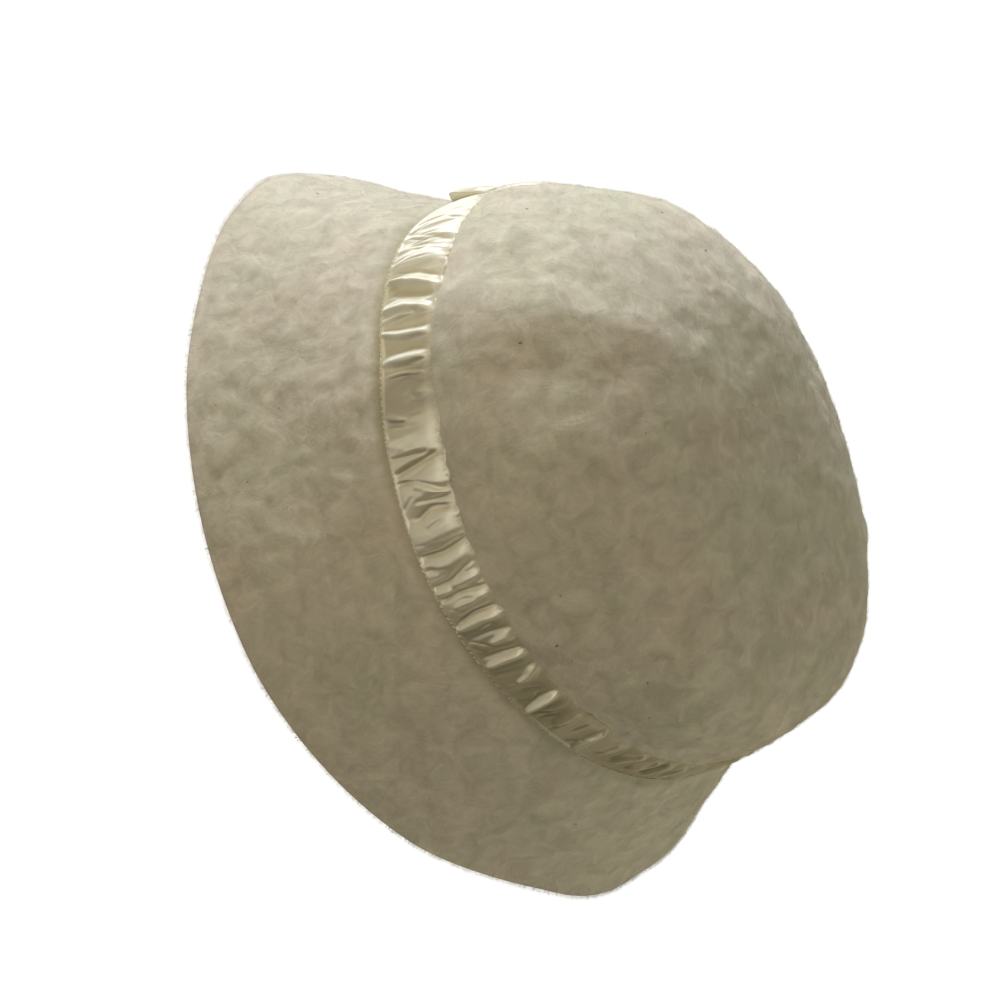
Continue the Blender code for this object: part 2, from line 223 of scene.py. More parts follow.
def on_ring(bearing, radius, height):
    angle = np.radians(bearing)
    return np.stack([radius * np.cos(angle), radius * np.sin(angle), height], axis=-1)


def oval_point(oval, bearing):
    """x and y of the oval at this bearing, about its own middle."""
    angle = np.radians(bearing)
    fullness = mixed(oval.front_fullness, oval.back_fullness, back_share(bearing))
    widening = 1.0 + oval.egg * np.sin(angle)
    x = oval.half_width * widening * signed_power(np.cos(angle), 2.0 / fullness)
    return x, oval.half_length * signed_power(np.sin(angle), 2.0 / fullness)


def swelling(swells, bearing, height):
    total = 0.0
    for swell in swells:
        across = bell(bearing_between(swell.bearing, bearing) / swell.half_bearing)
        total = total + swell.out * across * bell((height - swell.height) / swell.half_height)
    return total


def crown_point(bearing, rise):
    """A point on the crown's outer surface. Both arguments are arrays of one shape."""
    base_x, base_y = oval_point(HEAD_LINE, bearing)
    end = mixed(CROWN_FULLNESS_FRONT, CROWN_FULLNESS_BACK, back_share(bearing))
    fullness = mixed(end, CROWN_FULLNESS_SIDE, np.cos(np.radians(bearing)) ** 4)
    share = np.maximum(1.0 - rise ** fullness, 0.0) ** (1.0 / fullness)
    x = base_x * share
    y = base_y * share + CROWN_SET_BACK * rise ** 2
    z = CROWN_HEIGHT * rise * (1.0 - CROWN_LEAN * share * base_y / HEAD_LINE.half_length)
    slope = [x / HEAD_LINE.half_width ** 2, y / HEAD_LINE.half_length ** 2, z / CROWN_HEIGHT ** 2]
    slope = unit(np.stack(slope, axis=-1))
    place = np.stack([x, y + HEAD_SET_BACK, z + HEAD_HEIGHT + HEAD_TILT * y], axis=-1)
    return place + slope * swelling(CROWN_SWELLS, bearing, rise)[..., None]


def brim_point(bearing, reach):
    """A point on the brim's upper surface. Both arguments are arrays of one shape."""
    head = crown_point(bearing, np.zeros_like(bearing))
    rim_x, rim_y = oval_point(RIM, bearing)
    brim_bell = mixed(BRIM_BELL_FRONT, BRIM_BELL_BACK, back_share(bearing))
    spread = reach + brim_bell * (reach - reach ** 2)
    overhang = np.stack([rim_x - head[..., 0], rim_y - head[..., 1], np.zeros_like(rim_x)], axis=-1)
    out = swelling(BRIM_SWELLS, bearing, reach)
    out = out - GROOVE_DEPTH * bell((reach - GROOVE_REACH) / GROOVE_HALF_REACH)
    place = np.stack([head[..., 0], head[..., 1], head[..., 2] * (1.0 - reach)], axis=-1)
    return place + overhang * spread[..., None] + unit(overhang) * out[..., None]


# Noise.
def lattice(i, j, k, seed):
    """An even random number from -1 to 1 for each corner of a lattice."""
    h = (i * 374761393 + j * 668265263 + k * 1442695041 + seed * 1274126177) & 0xFFFFFFFF
    h = ((h ^ (h >> 13)) * 1274126177) & 0xFFFFFFFF
    h = ((h ^ (h >> 16)) * 2246822519) & 0xFFFFFFFF
    return ((h ^ (h >> 15)) & 0xFFFFFF) / float(0xFFFFFF) * 2.0 - 1.0


def noise(points, size, seed):
    """Smooth noise from -1 to 1 with lumps of this size."""
    at = points / size
    cell = np.floor(at).astype(np.int64)
    f = at - cell
    f = f * f * f * (f * (f * 6.0 - 15.0) + 10.0)
    total = 0.0
    for corner in range(8):
        dx, dy, dz = corner & 1, corner >> 1 & 1, corner >> 2 & 1
        weight = (f[..., 0] if dx else 1.0 - f[..., 0]) * (f[..., 1] if dy else 1.0 - f[..., 1])
        weight = weight * (f[..., 2] if dz else 1.0 - f[..., 2])
        total = total + weight * lattice(cell[..., 0] + dx, cell[..., 1] + dy, cell[..., 2] + dz, seed)
    return total


def felt_relief(points):
    """How far the soft unevenness of the brushed felt stands out, in millimetres."""
    drift = 0.42 * noise(points, 30.0, 11) + 0.26 * noise(points, 13.0, 12)
    tuft = 0.5 + 0.5 * noise(points, 24.0, 13)
    puffs = 0.50 * noise(points, 8.5, 14) + 0.34 * noise(points, 4.6, 15)
    return drift + puffs * (0.35 + 0.85 * tuft) + 0.09 * noise(points, 2.2, 16) - 0.03


# Meshes.
def make_mesh(name, points, faces, material):
    """An object from points in millimetres and a list of index arrays, one array for each face size."""
    mesh = bpy.data.meshes.new(name)
    loops = np.concatenate([block.ravel() for block in faces]).astype(np.int32)
    sizes = np.concatenate([np.full(len(block), block.shape[1]) for block in faces]).astype(np.int32)
    mesh.vertices.add(len(points))
    mesh.vertices.foreach_set("co", (np.asarray(points, float) * MM).astype(np.float32).ravel())
    mesh.loops.add(len(loops))
    mesh.loops.foreach_set("vertex_index", loops)
    mesh.polygons.add(len(sizes))
    mesh.polygons.foreach_set("loop_start", np.concatenate([[0], np.cumsum(sizes)[:-1]]).astype(np.int32))
    mesh.update(calc_edges=True)
    mesh.validate()
    mesh.shade_smooth()
    mesh.materials.append(material)
    piece = bpy.data.objects.new(name, mesh)
    bpy.context.scene.collection.objects.link(piece)
    return piece


def ring_faces(rows, columns, first=0, closed=True):
    """Quads between rows of points that are listed row by row, outward when the rows run up.

    Closed rows are rings.
    """
    steps = columns if closed else columns - 1
    row, column = np.meshgrid(np.arange(rows - 1), np.arange(steps), indexing="ij")
    low = first + row * columns
    high = low + columns
    after = (column + 1) % columns
    quads = [low + column, low + after, high + after, high + column]
    return np.stack([corner.ravel() for corner in quads], axis=1)


def joining_faces(columns, last):
    """Quads from the ring that starts at this index back to the first ring."""
    column = np.arange(columns)
    after = (column + 1) % columns
    return np.stack([last + column, last + after, after, column], axis=1)


def tube_faces(count, rings, sides):
    """The sides and the flat ends of many short tubes, whose points are listed tube by tube."""
    each = rings * sides
    shift = np.arange(count)[:, None, None] * each
    ends = np.array([list(range(sides))[::-1], list(range(each - sides, each))])
    return [(ring_faces(rings, sides) + shift).reshape(-1, 4), (ends + shift).reshape(-1, sides)]


def ring_frames(points):
    """The way round, the way up and the outward normal at each point of a stack of rings."""
    around = np.roll(points, -1, axis=1) - np.roll(points, 1, axis=1)
    up = np.gradient(points, axis=0)
    normal = unit(np.cross(around, up))
    around = unit(around)
    return around, unit(np.cross(normal, around)), normal


def ribbon_edge(bearing):
    """The heights of the ribbon's lower and upper edge above the head line."""
    around = np.abs(bearing_between(90.0, bearing))
    low, high = 0.0, 0.0
    for step in np.linspace(-3.0, 3.0, 7):
        at = 90.0 - np.abs(around + step)
        low = low + np.interp(at, RIBBON_EDGES[:, 0], RIBBON_EDGES[:, 1]) / 7.0
        high = high + np.interp(at, RIBBON_EDGES[:, 0], RIBBON_EDGES[:, 2]) / 7.0
    return low, high


# Materials.
WHITE = (1.0, 1.0, 1.0)
BLACK = (0.0, 0.0, 0.0)


class Look:
    """A new material, with short ways to add nodes to it and to set its shader."""

    def __init__(self, name):
        self.material = bpy.data.materials.new(name)
        self.material.use_nodes = True
        self.nodes = self.material.node_tree.nodes

    def feed(self, socket, value):
        """Gives an input another node's output, a colour or a number."""
        if isinstance(value, bpy.types.NodeSocket):
            self.material.node_tree.links.new(value, socket)
        else:
            socket.default_value = (*value, 1.0) if isinstance(value, tuple) else value

    def add(self, kind, output, inputs):
        node = self.nodes.new(kind)
        for name, value in inputs.items():
            self.feed(node.inputs[name], value)
        return node.outputs[output]

    def attribute(self, name, output="Fac"):
        node = self.nodes.new("ShaderNodeAttribute")
        node.attribute_name = name
        return node.outputs[output]

    def noise(self, vector, scale, detail, rough=0.5, distortion=0.0):
        return self.add("ShaderNodeTexNoise", "Fac", {
            "Vector": vector, "Scale": scale, "Detail": detail, "Roughness": rough, "Distortion": distortion})

    def ramp(self, value, *stops):
        """Colours by value. Each stop is a place from 0 to 1 and its colour."""
        node = self.nodes.new("ShaderNodeValToRGB")
        while len(node.color_ramp.elements) < len(stops):
            node.color_ramp.elements.new(0.5)
        for element, (place, colour) in zip(node.color_ramp.elements, stops):
            element.position = place
            element.color = (*colour, 1.0)
        self.feed(node.inputs["Fac"], value)
        return node.outputs["Color"]

    def mix(self, factor, one, other, kind="MIX"):
        """A mix of two colours. The node's sockets are picked by name and type, as several share a name."""
        node = self.nodes.new("ShaderNodeMix")
        node.data_type = "RGBA"
        node.blend_type = kind
        for name, form, value in (("Factor", "VALUE", factor), ("A", "RGBA", one), ("B", "RGBA", other)):
            self.feed(next(s for s in node.inputs if s.name == name and s.type == form), value)
        return next(s for s in node.outputs if s.type == "RGBA")

    def multiply(self, colour, *tints):
        for tint in tints:
            colour = self.mix(1.0, colour, tint, "MULTIPLY")
        return colour

    def larger(self, one, other):
        node = self.nodes.new("ShaderNodeMath")
        node.operation = "MAXIMUM"
        self.feed(node.inputs[0], one)
        self.feed(node.inputs[1], other)
        return node.outputs["Value"]

    def set_shader(self, values):
        for name, value in values.items():
            self.feed(self.nodes["Principled BSDF"].inputs[name], value)

    def set_bumps(self, *layers):
        """Bumps on top of each other, each from a height output, a strength and a depth in metres."""
        normal = {}
        for height, strength, distance in layers:
            inputs = {"Strength": strength, "Distance": distance, "Height": height, **normal}
            normal = {"Normal": self.add("ShaderNodeBump", "Normal", inputs)}
        self.set_shader(normal)


def felt_patterns(look):
    """The place in the object, and the wide drift and the clouds that the felt and its hairs share."""
    place = look.add("ShaderNodeTexCoord", "Object", {})
    return place, look.noise(place, 34.0, 2.0, 0.55), look.noise(place, 125.0, 4.0, 0.58, 0.9)


def felt_material(name, light, warm, cool):
    """Brushed felt: soft drifts of colour, pale wisps of lying fibres, and painted shade in the groove beside
    the ribbon.
    """
    look = Look(name)
    place, drift, cloud = felt_patterns(look)
    streaks = look.noise(look.attribute("nap_lay", "Vector"), 1.0, 4.0, 0.66)
    crossed = look.noise(look.attribute("nap_lean", "Vector"), 1.0, 4.0, 0.66)
    where = look.ramp(look.noise(place, 60.0, 1.0), (0.42, BLACK), (0.58, WHITE))
    fibre = look.mix(look.larger(where, look.attribute("nap_top")), streaks, crossed)
    colour = look.multiply(
        look.ramp(drift, (0.36, warm), (0.50, light), (0.64, cool)),
        look.ramp(cloud, (0.32, CLOUD_DARK), (0.50, WHITE), (0.70, CLOUD_PALE)),
        look.ramp(fibre, (0.30, WISP_DARK), (0.50, WHITE), (0.64, WISP_MID), (0.78, WISP_PALE)),
        # painted shade in the groove beside the ribbon
        look.ramp(look.attribute("groove_painted_shade"), (0.0, WHITE), (1.0, GROOVE_SHADE_TINT)))
    fine = look.noise(place, 1500.0, 2.0, 0.6)
    look.set_bumps((cloud, 0.35, 0.0012), (fibre, 0.22, 0.0003), (fine, 0.20, 0.00010))
    look.set_shader({"Base Color": colour, "Roughness": 0.95, "Specular IOR Level": 0.10,
                     "Sheen Weight": 0.30, "Sheen Roughness": 0.60, "Sheen Tint": (1.0, 0.98, 0.92)})
    return look.material


def fibre_material(name, colour, deeper, pale):
    """Single angora hairs: patches of deeper and paler hair, and each hair a little different."""
    look = Look(name)
    _, drift, cloud = felt_patterns(look)
    tint = look.multiply(
        look.ramp(cloud, (0.35, deeper), (0.50, colour), (0.65, pale)),
        look.ramp(drift, (0.36, PATCH_WARM), (0.50, WHITE), (0.64, PATCH_COOL)),
        look.ramp(look.attribute("hair_tone"), (0.0, HAIR_DIM), (0.8, WHITE), (1.0, HAIR_BRIGHT)))
    look.set_shader({"Base Color": tint, "Roughness": 0.85, "Specular IOR Level": 0.10})
    return look.material


def satin_material(name, colour, painted_shade, pale):
    """Gathered satin: soft gloss along the folds, a fine weave, painted shade in the hollows of the folds and
    a painted highlight on their crests.
    """
    look = Look(name)
    place = look.add("ShaderNodeTexCoord", "Object", {})
    # The ramp paints shade into low values and a painted highlight into high ones.
    shade = look.multiply(
        look.ramp(look.attribute("satin_painted_light_shade"), (0.05, painted_shade), (0.50, colour), (0.85, pale)),
        look.ramp(look.noise(place, 160.0, 2.0), (0.3, SATIN_DIM), (0.7, WHITE)))
    wrinkle, weave = look.noise(place, 420.0, 2.0), look.noise(place, 2600.0, 1.0)
    look.set_bumps((wrinkle, 0.25, 0.0003), (weave, 0.12, 0.00006))
    threads = look.nodes.new("ShaderNodeTangent")
    threads.direction_type = "RADIAL"
    threads.axis = "Z"
    look.set_shader({"Base Color": shade, "Tangent": threads.outputs["Tangent"], "Roughness": 0.50,
                     "IOR": 2.10, "Specular IOR Level": 0.90, "Anisotropic": 0.85,
                     "Anisotropic Rotation": 0.25})
    return look.material


CLOUD_DARK = (0.90, 0.895, 0.875)
CLOUD_PALE = (1.09, 1.09, 1.085)
WISP_DARK = (0.95, 0.945, 0.93)
WISP_MID = (1.04, 1.04, 1.04)
WISP_PALE = (1.14, 1.14, 1.13)
# Painted shade for the groove beside the ribbon.
GROOVE_SHADE_TINT = (0.68, 0.66, 0.50)
PATCH_WARM = (1.018, 0.990, 0.990)
PATCH_COOL = (0.970, 0.983, 0.962)
HAIR_DIM = (0.90, 0.895, 0.88)
HAIR_BRIGHT = (1.14, 1.14, 1.14)
SATIN_DIM = (0.94, 0.94, 0.91)
FELT_LOOK = felt_material("ivory_felt", (0.735, 0.710, 0.600), (0.750, 0.704, 0.598), (0.713, 0.703, 0.580))
HAIR_LOOK = fibre_material("angora_hair", (0.735, 0.712, 0.615), (0.640, 0.615, 0.515), (0.855, 0.838, 0.750))
# For the satin and the thread, the second colour is painted shade and the third a painted highlight.
SATIN_LOOK = satin_material("cream_satin", (0.76, 0.71, 0.48), (0.40, 0.355, 0.195), (0.92, 0.89, 0.69))
THREAD_LOOK = satin_material("cream_thread", (0.74, 0.69, 0.48), (0.66, 0.61, 0.40), (0.80, 0.75, 0.55))
FLECK_LOOK = fibre_material("dark_fleck", (0.37, 0.33, 0.25), (0.30, 0.26, 0.19), (0.44, 0.40, 0.31))


def set_points(piece, name, values, vectors=False):
    """Keeps a value or a vector for each point, which the material reads."""
    kind, part = ("FLOAT_VECTOR", "vector") if vectors else ("FLOAT", "value")
    attribute = piece.data.attributes.new(name, kind, "POINT")
    attribute.data.foreach_set(part, np.asarray(values, np.float32).ravel())


# The streaks of lying fibres: their size in millimetres, and in degrees the turn of those that cross the top.
STREAK_WIDTH = 1.3
STREAK_LENGTH = 7.0
CROSSED_TURN = 24.0


def nap_places(bearing, along, turn):
    """Places for streaks that lie along the felt's rows, turned by this many degrees a millimetre."""
    return on_ring(bearing + turn * along, PATTERN_RADIUS / STREAK_WIDTH, along / STREAK_LENGTH)


def row_lengths(points):
    """How far up each ring lies, along the surface."""
    steps = np.linalg.norm(np.diff(points, axis=0), axis=-1)
    return np.concatenate([np.zeros((1, points.shape[1])), np.cumsum(steps, axis=0)])


# The felt.
CROWN_COLUMNS = 432
CROWN_ROWS = 146
TOP_ROWS = 9
TOP_CLOSING = 0.28
BRIM_COLUMNS = 576
BRIM_ROWS = 84
INNER_ROWS = 26
RIM_ROUND = 1.3
RIM_STEPS = 7


def bearing_grid(columns, values):
    """Bearings all round and these values, as two arrays with a row for each value."""
    return np.meshgrid(np.arange(columns) * 360.0 / columns, values)


def inner_picks(rows):
    """The rows of the outer side that the inner side takes up."""
    return np.linspace(0, rows - 1, INNER_ROWS).round().astype(int)


def crown_rises():
    """Rises that part the crown's left side into equal lengths from the joint up, and close in on the top."""
    def rise(share):
        return np.sin(mixed(math.asin(JOINT_RISE ** 1.25), math.pi / 2, share)) ** 0.8

    fine = np.linspace(0.0, 1.0, 3000)
    side = crown_point(np.zeros_like(fine), rise(fine))
    length = row_lengths(side[:, None])[:, 0]
    even = np.linspace(0.0, length[-1], CROWN_ROWS - TOP_ROWS + 1)
    rises = rise(np.interp(even, length, fine))[:-1]
    return np.concatenate([rises, 1.0 - (1.0 - rises[-1]) * TOP_CLOSING ** np.arange(1, TOP_ROWS + 1)])


def build_felt_crown():
    """The crown. Gives its outer rings, and for each point the share of hair that grows there."""
    bearing, rise = bearing_grid(CROWN_COLUMNS, crown_rises())
    smooth = crown_point(bearing, rise)
    _, _, normal = ring_frames(smooth)
    over = rise * CROWN_HEIGHT - ribbon_edge(bearing)[1]
    shown = smooth_step(-2.5, 0.8, over)
    pillow = 0.40 * smooth_step(-2.2, -0.2, over) * smooth_step(11.0, 2.0, over)
    outer = smooth + normal * (felt_relief(smooth) * shown + pillow)[..., None]
    outer[0, :, 2] = smooth[0, :, 2] + JOINT_GAP
    top = outer[-1].mean(axis=0)
    picks = inner_picks(CROWN_ROWS)
    inner = smooth[picks] - normal[picks] * (FELT + 0.12 * noise(smooth[picks], 8.0, 21))[..., None]
    inner[0, :, 2] = outer[0, :, 2]
    under_top = top - np.array([0.0, 0.0, FELT])
    points = np.concatenate([outer.reshape(-1, 3), [top], inner[::-1].reshape(-1, 3), [under_top]])
    columns = np.arange(CROWN_COLUMNS)
    after = (columns + 1) % CROWN_COLUMNS
    pole = CROWN_ROWS * CROWN_COLUMNS
    last = pole - CROWN_COLUMNS
    first_inner = pole + 1
    under = first_inner + INNER_ROWS * CROWN_COLUMNS
    top_fan = np.stack([last + columns, last + after, 0 * columns + pole], axis=1)
    under_fan = np.stack([first_inner + after, first_inner + columns, 0 * columns + under], axis=1)
    faces = [ring_faces(CROWN_ROWS, CROWN_COLUMNS), ring_faces(INNER_ROWS, CROWN_COLUMNS, first_inner),
             joining_faces(CROWN_COLUMNS, under - CROWN_COLUMNS), np.concatenate([top_fan, under_fan])]
    piece = make_mesh("felt_crown", points, faces, FELT_LOOK)
    lay = nap_places(bearing, row_lengths(smooth), 0.12)
    top_lay = lay[-1, -1:]
    rows = [lay.reshape(-1, 3), top_lay, lay[picks][::-1].reshape(-1, 3), top_lay]
    set_points(piece, "nap_lay", np.concatenate(rows), True)
    turn = math.radians(CROSSED_TURN)
    across_lay = points[:, 0] * math.cos(turn) - points[:, 1] * math.sin(turn)
    along_lay = points[:, 0] * math.sin(turn) + points[:, 1] * math.cos(turn)
    level_lay = [across_lay / STREAK_WIDTH, along_lay / STREAK_LENGTH, points[:, 2] / STREAK_WIDTH]
    set_points(piece, "nap_lean", np.stack(level_lay, axis=-1), True)
    set_points(piece, "nap_top", smooth_step(44.0, 24.0, np.linalg.norm(points - top, axis=-1)))
    set_points(piece, "groove_painted_shade", np.zeros(len(points)))
    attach(piece, "root")
    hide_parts("crown")
    return outer, smooth_step(-0.5, 1.0, over)


def build_felt_brim():
    """The brim. Gives its outer rings from the rim up, and for each point the share of hair there."""
    bearing, reach = bearing_grid(BRIM_COLUMNS, np.linspace(1.0 - RIM_ROUND / HEAD_HEIGHT, 0.0, BRIM_ROWS))
    smooth = brim_point(bearing, reach)
    collar = crown_point(bearing[0], np.full(BRIM_COLUMNS, JOINT_RISE))
    _, _, normal = ring_frames(smooth)
    from_ribbon = reach * BRIM_LENGTH + ribbon_edge(bearing)[0]
    shown = smooth_step(1.0, 7.0, from_ribbon) * smooth_step(1.0, 0.90, reach)
    seam = 0.0
    for turn in (0.0, FAR_SIDE_TURN):
        from_turn = bearing_between(turn, bearing)
        seam = np.maximum(seam, smooth_step(-100.0, -88.0, from_turn) * smooth_step(-14.0, -34.0, from_turn))
    # The groove beside the ribbon is pressed into the felt, and the same mask paints shade into it.
    groove_and_shade = bell((from_ribbon - 2.4) / 4.8) * (0.30 + 0.70 * seam)
    outer = smooth + normal * (felt_relief(smooth) * shown - 0.8 * groove_and_shade)[..., None]
    level = unit(normal * np.array([1.0, 1.0, 0.0]))
    thick = FELT / np.linalg.norm(normal[..., :2], axis=-1, keepdims=True)
    wobble = 0.12 * noise(smooth, 9.0, 22)[..., None] * shown[..., None]
    inner = smooth - level * (thick + wobble)
    picks = inner_picks(BRIM_ROWS)
    rim = []
    for step in range(RIM_STEPS, 0, -1):
        angle = math.pi * step / (RIM_STEPS + 1)
        ring = outer[0] + (inner[0] - outer[0]) * (0.5 - 0.5 * math.cos(angle))
        ring[:, 2] = np.maximum(ring[:, 2] - RIM_ROUND * math.sin(angle) ** 0.55, 0.0)
        rim.append(ring)
    stack = [*rim, *outer, collar, collar - level[-1] * thick[-1], *inner[picks][::-1]]
    last = (len(stack) - 1) * BRIM_COLUMNS
    faces = [ring_faces(len(stack), BRIM_COLUMNS), joining_faces(BRIM_COLUMNS, last)]
    piece = make_mesh("felt_brim", np.concatenate(stack), faces, FELT_LOOK)
    along = row_lengths(smooth)
    for name, turn in (("nap_lay", 0.10), ("nap_lean", -0.40)):
        lay = nap_places(bearing, along, turn)
        rows = [*[lay[0]] * RIM_STEPS, *lay, lay[-1], lay[-1], *lay[picks][::-1]]
        set_points(piece, name, np.concatenate(rows), True)
    outside_groove_rows = (RIM_STEPS * BRIM_COLUMNS, (2 + INNER_ROWS) * BRIM_COLUMNS)
    # Painted shade in the groove, none on the rim or the inner side.
    set_points(piece, "groove_painted_shade", np.pad(groove_and_shade.ravel(), outside_groove_rows))
    set_points(piece, "nap_top", np.zeros(len(stack) * BRIM_COLUMNS))
    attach(piece, "root")
    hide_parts("brim")
    return outer, smooth_step(3.2, 7.0, from_ribbon)


# The ribbon.
RIBBON_COLUMNS = 1680
RIBBON_ROWS = 32
RIBBON_OUT = 0.75
RIBBON_HEIGHT = 24.0
HEM_HEIGHT = 1.0


def wall_point(bearing, height):
    """A point on the felt this far above the head line on the crown, or below it on the brim.

    The corner between the two is softened.
    """
    total = 0.0
    for step in (-1.6, -0.8, 0.0, 0.8, 1.6):
        at = height + step
        up = crown_point(bearing, np.maximum(at, 0.0) / CROWN_HEIGHT)
        down = brim_point(bearing, np.maximum(-at, 0.0) / BRIM_LENGTH)
        total = total + np.where((at >= 0.0)[..., None], up, down) / 5.0
    return total


def fold_cover(folds, bearing, share, shape, lean=0.0, taper=0.0):
    """The highest lift of these folds at each place, with the given cross shape.

    A lean above 0 makes the side towards the front the longer one. A taper above 0 narrows the ends.
    """
    lift = np.zeros_like(bearing)
    for turn in (0.0, FAR_SIDE_TURN):
        for fold in folds:
            near = np.abs(bearing_between(fold.middle + turn, bearing)) < FOLD_REACH
            b, s = bearing[near], share[near]
            stops = (fold.foot_share, fold.middle_share, fold.head_share)
            middle = np.interp(s, stops, (fold.foot, fold.middle, fold.head)) + turn
            half = np.interp(s, (fold.foot_share, fold.head_share), (fold.half_foot, fold.half_head))
            run = np.interp(s, (fold.foot_share - 0.10, fold.head_share + 0.10), (-1.0, 1.0))
            half = half * (1.0 - taper * run ** 2)
            fade = smooth_step(fold.foot_share - 0.14, fold.foot_share + 0.05, s)
            fade = fade * smooth_step(fold.head_share + 0.14, fold.head_share - 0.05, s)
            d = bearing_between(middle, b) / half
            d = np.where(d < 0.0, -d / (1.0 + lean), d / (1.0 - lean))
            lift[near] = np.maximum(lift[near], fold.out * shape(d) * fade)
    return lift


def crest(d):
    """A fold with a rounded top and hollow sides."""
    return np.maximum(0.0, 1.0 - (np.sqrt(d * d + 0.07) - 0.2646) / 0.7754) ** 1.6


def puff(d):
    """A wide fold with a broad top."""
    return np.maximum(0.0, 1.0 - d ** 2.1) ** 1.1


def pressed(d):
    """A narrow crease with rounded lips."""
    return np.maximum(0.0, 1.0 - d) ** 1.2 * (1.0 + 0.4 * d)


def small_creases():
    """Short fine creases where the ribbon is drawn together on its thread."""
    rng = np.random.default_rng(37)
    folds = []
    for bearing in np.arange(-28.0, 150.0, 1.7):
        foot = bearing + rng.uniform(-0.8, 0.8)
        slant = rng.normal(0.4, 0.9)
        low = rng.uniform(0.05, 0.62)
        high = low + rng.uniform(0.14, 0.32)
        half = rng.uniform(0.30, 0.55)
        out = rng.uniform(0.15, 0.50)
        folds.append(Fold(foot, low, foot + slant / 2, (low + high) / 2, foot + slant, high, half, half, out))
    return folds


def ribbon_lift(bearing, share):
    """How far the gathered satin stands out at each place, in millimetres."""
    ridges = fold_cover(RIDGES, bearing, share, crest, 0.25, 0.55)
    puffs = fold_cover(PUFFS, bearing, share, puff)
    creases = fold_cover(CREASES, bearing, share, pressed)
    creases = np.maximum(creases, fold_cover(small_creases(), bearing, share, pressed))
    place = on_ring(bearing, PATTERN_RADIUS, share * 3.2)
    soft = 0.35 * noise(place, 6.0, 31) + 0.16 * noise(place * np.array([1.0, 1.0, 0.8]), 2.2, 32)
    fine = 0.07 * noise(place * np.array([1.0, 1.0, 0.5]), 1.0, 33)
    lift = np.maximum(ridges, puffs) + 0.35 * np.minimum(ridges, puffs) + soft + fine
    edge = 1.0 - 0.62 * np.abs(2.0 * share - 1.0) ** 3
    return np.maximum(lift * edge - creases * (0.55 + 0.45 * edge), -0.55)


def build_ribbon():
    """The gathered ribbon. Gives its piece and the rings of its outer side."""
    hem_share = HEM_HEIGHT / RIBBON_HEIGHT
    shares = np.concatenate([[0.0, 0.4 * hem_share, hem_share, 1.35 * hem_share],
                             np.linspace(1.9 * hem_share, 1.0, RIBBON_ROWS - 4)])
    bearing, share = bearing_grid(RIBBON_COLUMNS, shares)
    low, high = ribbon_edge(bearing)
    level = on_ring(bearing, PATTERN_RADIUS, 0.0 * bearing)
    ragged = 0.55 * noise(level, 5.0, 34) + 0.35 * noise(level, 1.9, 35)
    height = mixed(low, high + ragged, share)
    base = wall_point(bearing, height)
    _, _, normal = ring_frames(base)
    lift = ribbon_lift(bearing, share)
    hem = smooth_step(1.5 * hem_share, 0.9 * hem_share, share)
    out = RIBBON_OUT + lift * (1.0 - hem) + hem * (0.45 + 0.30 * lift)
    # From the front to the right side the ribbon lies closer.
    from_left = np.abs(bearing_between(0.0, bearing)) * (np.sin(np.radians(bearing)) < 0)
    out = out * mixed(0.45, 1.0, smooth_step(90.0, 72.0, from_left))
    out = out * mixed(0.30, 1.0, smooth_step(1.02, 0.80, share)) + 0.15
    outer = base + normal * out[..., None]
    tuck_low = wall_point(bearing[:1], height[:1] + 0.6) + normal[:1] * 0.15
    lip_low = wall_point(bearing[:1], height[:1] - 0.15) + normal[:1] * 0.55
    tuck_high = base[-1:] - normal[-1:] * 0.35
    points = np.concatenate([tuck_low, lip_low, outer, tuck_high])
    faces = [ring_faces(len(points), RIBBON_COLUMNS)]
    piece = make_mesh("gathered_ribbon", points.reshape(-1, 3), faces, SATIN_LOOK)
    # Painted light and shade on the satin: pale at the front and on raised folds, painted shade in creases,
    # tucks, the flat patch and towards the back.
    tone = np.interp(90.0 - np.abs(bearing_between(90.0, bearing)), SATIN_PAINTED_LIGHT_BY_BEARING[:, 0], SATIN_PAINTED_LIGHT_BY_BEARING[:, 1])
    depth = np.clip(tone + 0.34 * (lift - 0.15), 0.0, 1.0)
    depth = depth * (1.0 - hem) + hem * (0.10 + 0.45 * tone)
    depth = np.concatenate([depth[:1] * 0, depth[:1] * 0 + 0.5, depth, depth[-1:] * 0])
    set_points(piece, "satin_painted_light_shade", depth)
    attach(piece, "root")
    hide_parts("ribbon_band")
    return piece, outer


def build_hem_stitches(ribbon_points):
    """Short slanting stitches that hold the ribbon's lower edge."""
    count = 400
    sides, length, radius = 6, 1.3, 0.15
    rng = np.random.default_rng(41)
    column = np.arange(count) * RIBBON_COLUMNS / count + rng.uniform(-1.2, 1.2, count)
    column = column.astype(int) % RIBBON_COLUMNS
    around, up, out = (way[1, column] for way in ring_frames(ribbon_points))
    middle = ribbon_points[1, column] + out * 0.10
    way = unit(turned(around, up, rng.normal(0.42, 0.14, count)))
    side = unit(np.cross(out, way))
    size = rng.uniform(0.75, 1.15, count)[:, None]
    stations = ((-1.0, 0.25, -0.30), (-0.8, 0.85, -0.06), (-0.3, 1.0, 0.05),
                (0.3, 1.0, 0.05), (0.8, 0.85, -0.06), (1.0, 0.25, -0.30))
    points = []
    for along, width, lift in stations:
        centre = middle + way * (along * length / 2 * size) + out * lift
        for step in range(sides):
            turn = 2 * math.pi * step / sides
            points.append(centre + (side * math.cos(turn) + out * math.sin(turn)) * radius * width)
    points = np.stack(points, axis=1).reshape(-1, 3)
    piece = make_mesh("hem_stitches", points, tube_faces(count, len(stations), sides), THREAD_LOOK)
    set_points(piece, "satin_painted_light_shade", np.full(len(points), 0.45))
    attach(piece, "root")
    return piece


TAB_BEARING = -94.0
TAB_WIDTH = 12.0
TAB_LOW = 6.2
TAB_HIGH = 18.0
TAB_BACK_OUT = 0.5
TAB_FOOT_OUT = 4.4
TAB_HEAD_OUT = 1.1


